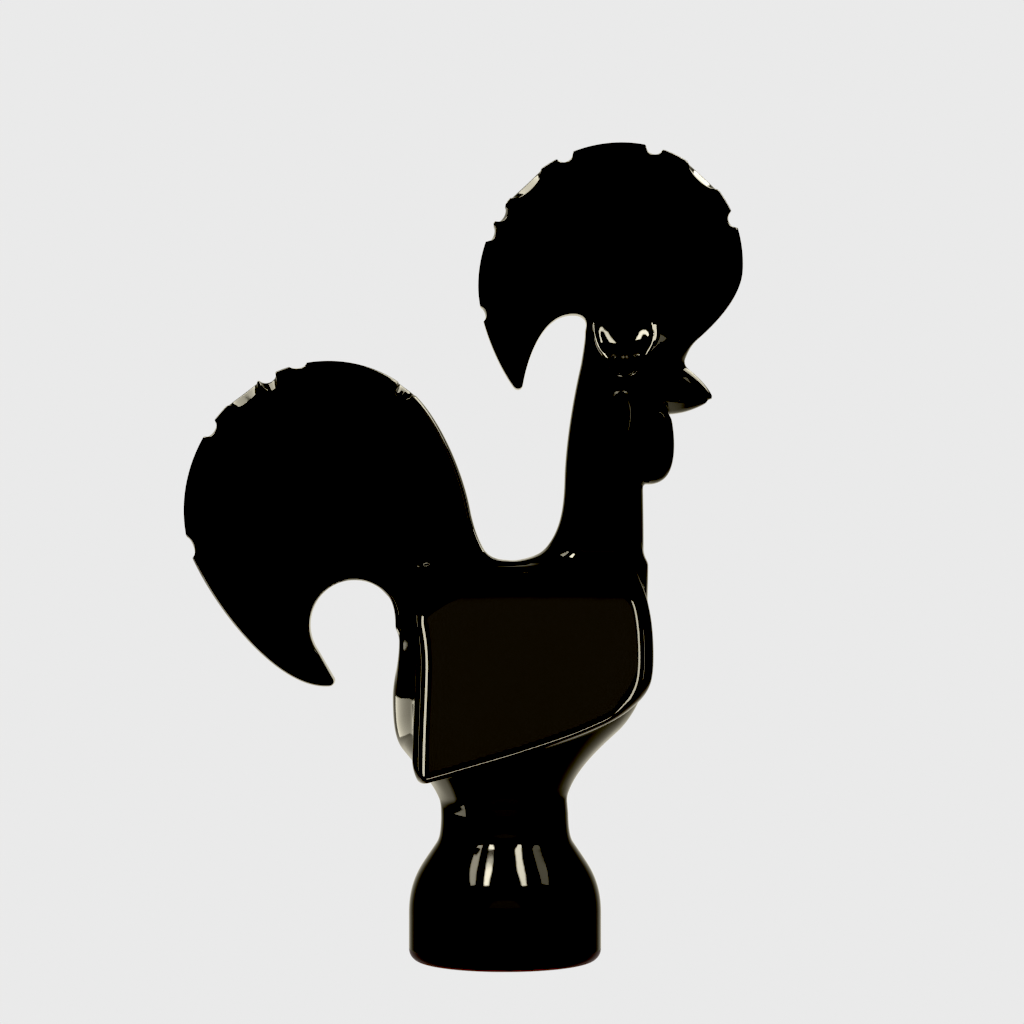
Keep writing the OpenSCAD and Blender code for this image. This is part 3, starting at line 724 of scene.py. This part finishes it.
def glaze_material():
    """Black gloss glaze that thins to brown on edges, over red clay that shows on the foot's ring."""
    material = bpy.data.materials.new("black_glaze_over_clay")
    material.use_nodes = True
    n = Nodes(material.node_tree)
    place = n.add("ShaderNodeTexCoord").outputs["Object"]
    split = n.add("ShaderNodeSeparateXYZ")
    n.link(place, split.inputs[0])
    edge = n.add("ShaderNodeAttribute", attribute_name="edge").outputs["Fac"]
    inside = n.add("ShaderNodeAttribute", attribute_name="clay").outputs["Fac"]
    dull = n.add("ShaderNodeAttribute", attribute_name="dull").outputs["Fac"]

    wobble = n.noise(place, 260.0)
    line = n.math("ADD", n.math("MULTIPLY", wobble, 0.0009), 0.0004)
    bare = n.math("MULTIPLY", n.math("SUBTRACT", line, split.outputs["Z"]), 2500.0, clamp=True)
    bare = n.math("MAXIMUM", bare, inside)

    thin = n.math("MULTIPLY", n.math("SUBTRACT", edge, 0.16), 2.2, clamp=True)
    thin = n.math("MULTIPLY", thin, n.noise(place, 420.0, 5.0))
    colour = n.blend(thin, GLAZE_THICK, GLAZE_THIN)
    mottle = n.noise(place, 900.0, 6.0)
    clay_colour = n.blend(mottle, CLAY_DARK, CLAY_PALE)
    fired = n.noise(place, 140.0, 2.0)
    clay_colour = n.blend(n.math("MULTIPLY", fired, 0.5), clay_colour, CLAY_SMOKED)

    pull = n.noise(place, 120.0, 2.0)
    peel = n.noise(place, 650.0, 2.0)
    waves = n.math("ADD", n.math("MULTIPLY", pull, 0.00003), n.math("MULTIPLY", peel, 0.000004))
    grit = n.math("MULTIPLY", n.noise(place, 2600.0, 6.0), 0.00018)

    bump = n.add("ShaderNodeBump")
    bump.inputs["Strength"].default_value = 1.0
    bump.inputs["Distance"].default_value = 1.0
    n.link(n.math("ADD", waves, n.math("MULTIPLY", grit, bare)), bump.inputs["Height"])

    glaze = n.add("ShaderNodeBsdfPrincipled")
    glaze.inputs["IOR"].default_value = GLAZE_IOR
    smear = n.math("ADD", n.math("MULTIPLY", n.noise(place, 70.0, 4.0), 0.05), 0.05)
    smear = n.math("ADD", smear, n.math("MULTIPLY", dull, 0.3))
    n.link(n.math("MAXIMUM", smear, n.math("MULTIPLY", bare, 0.8)), glaze.inputs["Roughness"])
    n.link(n.blend(bare, colour, clay_colour), glaze.inputs["Base Color"])
    n.link(bump.outputs[0], glaze.inputs["Normal"])
    out = n.add("ShaderNodeOutputMaterial")
    n.link(glaze.outputs[0], out.inputs["Surface"])
    return material


# Studio

PAPER = 0.83
CAMERA_X = 1.75 * MM
CAMERA_Z = 112 * MM
CAMERA_DISTANCE = 0.8
FRAME_WIDTH = 0.256
SHADE_R = 34 * MM
SHADE_COLOUR = (1.0, 0.84, 0.78)
LAMP_COLOUR = (1.0, 0.94, 0.75)
ROOM_COLOUR = (1.0, 0.94, 0.76)
FRONT_COLOUR = (1.0, 0.985, 0.95)


def glow_material(name, colour, strength):
    material = bpy.data.materials.new(name)
    material.use_nodes = True
    n = Nodes(material.node_tree)
    glow = n.add("ShaderNodeEmission")
    glow.inputs["Color"].default_value = (*colour, 1)
    glow.inputs["Strength"].default_value = strength
    out = n.add("ShaderNodeOutputMaterial")
    n.link(glow.outputs[0], out.inputs["Surface"])
    return material


def build_floor():
    """Pale paper that lies under the rooster and curves up behind it."""
    front, bend_y, bend_r, top, half_width = -0.16, 0.9, 0.5, 1.6, 1.6
    steps = 24
    profile = [(front, 0.0), (bend_y, 0.0)]
    for i in range(1, steps + 1):
        a = math.pi / 2 * i / steps
        profile.append((bend_y + bend_r * math.sin(a), bend_r * (1 - math.cos(a))))
    profile.append((bend_y + bend_r, top))
    points = [(side * half_width, y, z) for y, z in profile for side in (-1, 1)]
    quads = [(2 * i, 2 * i + 1, 2 * i + 3, 2 * i + 2) for i in range(len(profile) - 1)]
    mesh = bpy.data.meshes.new("studio_paper")
    mesh.from_pydata(points, [], quads)
    mesh.polygons.foreach_set("use_smooth", [True] * len(quads))
    mesh.materials.append(glow_material("pale_paper", (1.0, 1.0, 1.0), PAPER))
    paper = bpy.data.objects.new("studio_paper", mesh)
    paper.visible_glossy = False
    paper.visible_shadow = False
    bpy.context.scene.collection.objects.link(paper)


def build_shade():
    """Card under the foot for the shade round it on the paper, which the glaze mirrors."""
    mesh = bpy.data.meshes.new("shade_card")
    around = np.radians(np.arange(0, 360, 10))
    points = [(SHADE_R * math.cos(a), SHADE_R * math.sin(a), 0.05 * MM) for a in around]
    mesh.from_pydata(points, [], [range(len(points))])
    mesh.materials.append(glow_material("shaded_paper", SHADE_COLOUR, 0.3))
    card = bpy.data.objects.new("shade_card", mesh)
    card.visible_camera = False
    bpy.context.scene.collection.objects.link(card)


def add_panel(name, width, height, strength, lit):
    """Warm rectangular light that only lights the given pieces."""
    light = bpy.data.lights.new(name, "AREA")
    light.shape = "RECTANGLE"
    light.size = width
    light.size_y = height
    light.energy = strength * light.size * light.size_y * math.pi
    light.color = LAMP_COLOUR
    holder = bpy.data.objects.new(name, light)
    holder.visible_camera = False
    holder.light_linking.receiver_collection = lit
    bpy.context.scene.collection.objects.link(holder)
    return holder


def add_light(name, azimuth, low, high, width, strength, lit, distance=3.0, height=0.07):
    """Strip, azimuth degrees to the right of the camera, between two elevations."""
    a = math.radians(azimuth)
    low, high = (math.tan(math.radians(e)) * distance for e in (low, high))
    way = Vector((math.sin(a), -math.cos(a), 0))
    across = 2 * distance * math.tan(math.radians(width / 2))
    holder = add_panel(name, across, high - low, strength, lit)
    holder.location = Vector((CAMERA_X, 0, height + (low + high) / 2)) + way * distance
    holder.rotation_euler = way.to_track_quat("Z", "Y").to_euler()


def add_bar(name, start, end, width, strength, lit, height=2.5):
    """Overhead bar, between two places given per unit of its height."""
    start, end = (Vector((p[0] * height, p[1] * height, height)) for p in (start, end))
    along = (end - start).normalized()
    middle = (start + end) / 2
    facing = (middle - along * middle.dot(along)).normalized()
    across = 2 * middle.length * math.tan(math.radians(width / 2))
    holder = add_panel(name, across, (end - start).length, strength, lit)
    turn = Matrix((along.cross(facing), along, facing)).transposed().to_4x4()
    holder.matrix_world = Matrix.Translation(middle) @ turn


def lit_group(name, pieces, endings):
    """Collection of the pieces whose names end in one of the endings."""
    group = bpy.data.collections.new(name)
    for key, piece in pieces.items():
        if key.endswith(endings):
            group.objects.link(piece)
    return group


def build_lights(pieces):
    """Overhead bars for the foot and head, low strips for the wings' edges, and lights for the rims."""
    face = ("head", "beak", "wattle", "eye")
    left = lit_group("lit_by_left_bars", pieces, ("foot", "torso", "neck", *face))
    right = lit_group("lit_by_right_bars", pieces, ("foot", *face))
    wings = lit_group("lit_by_low_strips", pieces, ("wing",))
    lobes = lit_group("lit_by_soft_strip", pieces, ("lobe",))
    tail = lit_group("lit_by_wide_panel", pieces, ("tail",))
    rump = lit_group("lit_by_near_panel", pieces, ("torso",))
    rims = lit_group("lit_from_behind", pieces, ("comb", "tail", "upper_beak"))
    add_bar("bar_left_wide", (-0.96, -0.92), (-0.56, -0.17), 7, 6.5, left)
    add_bar("bar_left_narrow", (-0.56, -1.1), (-0.33, -0.49), 6, 22, left)
    add_bar("bar_right_narrow", (0.59, -1.1), (0.26, -0.35), 6.5, 16, right)
    add_bar("bar_right_wide", (1.24, -0.74), (0.74, -0.2), 10, 2.2, right)
    add_light("low_left", -50, -4, 18, 14, 14, wings)
    add_light("low_left_side", -88, -4, 13, 7, 2.5, wings)
    add_light("low_right", 34, -22, 28, 10, 12, wings)
    add_light("low_right_side", 66, -4, 13, 6, 3, wings)
    add_light("low_front", 0, -42, -31, 60, 9, wings)
    add_light("low_right_soft", 34, -4, 13, 9, 9, lobes)
    add_light("rump_panel", -98, -12, 6, 64, 3.5, rump, 0.095, 0.052)
    add_light("tail_panel", 95, 4, 44, 80, 1.1, tail)
    add_light("behind_left", -133, 27, 68, 36, 5, rims)
    add_light("behind_right", 130, 28, 62, 56, 6, rims)


def build_room():
    """Pale room that the glaze mirrors: the wall behind, the floor, and a glow behind the camera."""
    world = bpy.data.worlds.new("pale_room")
    world.use_nodes = True
    n = Nodes(world.node_tree)
    way = n.add("ShaderNodeSeparateXYZ")
    n.link(n.add("ShaderNodeTexCoord").outputs["Generated"], way.inputs[0])
    x, y, z = way.outputs
    below = n.math("MULTIPLY", z, -1.0)
    behind = n.ramp(y, [(0.35, 0.0), (0.62, 0.1), (0.85, 0.24), (0.95, 0.5), (1.0, 0.85)])
    floor = n.ramp(below, [(0.14, 0.0), (0.42, 1.5)])
    floor = n.math("MULTIPLY", floor, n.ramp(y, [(-0.2, 0.0), (0.1, 1.0)]))
    left = n.ramp(n.math("MULTIPLY", x, -1.0), [(-0.7, 0.4), (0.0, 1.0), (0.85, 1.3)])
    floor = n.math("MULTIPLY", floor, left)
    ceiling = n.ramp(z, [(0.11, 0.0), (0.15, 1.0), (0.34, 1.0), (0.5, 0.0)])
    towards = n.ramp(n.math("MULTIPLY", y, -1.0), [(0.8, 0.0), (0.93, 0.915)])
    front = n.math("MULTIPLY", ceiling, towards)
    room = (ROOM_COLOUR, n.math("ADD", behind, floor))
    both = n.add("ShaderNodeAddShader")
    for socket, (colour, strength) in zip(both.inputs, (room, (FRONT_COLOUR, front))):
        glow = n.add("ShaderNodeBackground")
        glow.inputs["Color"].default_value = (*colour, 1)
        n.link(strength, glow.inputs["Strength"])
        n.link(glow.outputs[0], socket)
    out = n.add("ShaderNodeOutputWorld")
    n.link(both.outputs[0], out.inputs["Surface"])
    bpy.context.scene.world = world


def build_camera():
    camera = bpy.data.cameras.new("photo_camera")
    camera.sensor_width = 36
    camera.lens = 36 * CAMERA_DISTANCE / FRAME_WIDTH
    camera.clip_start = 0.01
    holder = bpy.data.objects.new("photo_camera", camera)
    holder.location = (CAMERA_X, -CAMERA_DISTANCE, CAMERA_Z)
    holder.rotation_euler = (math.pi / 2, 0, 0)
    bpy.context.scene.collection.objects.link(holder)
    bpy.context.scene.camera = holder


def set_tones():
    """Print the colours as they are, with the deep blacks of the photograph."""
    view = bpy.context.scene.view_settings
    view.view_transform = "Standard"
    view.look = "None"
    view.use_curve_mapping = True
    view.curve_mapping.black_level = (0.04, 0.04, 0.039)
    view.curve_mapping.update()


build_camera()
build_floor()
build_shade()
set_tones()
pieces = build_pieces()
glaze = glaze_material()
for piece in pieces.values():
    piece.data.materials.append(glaze)
build_lights(pieces)
build_room()
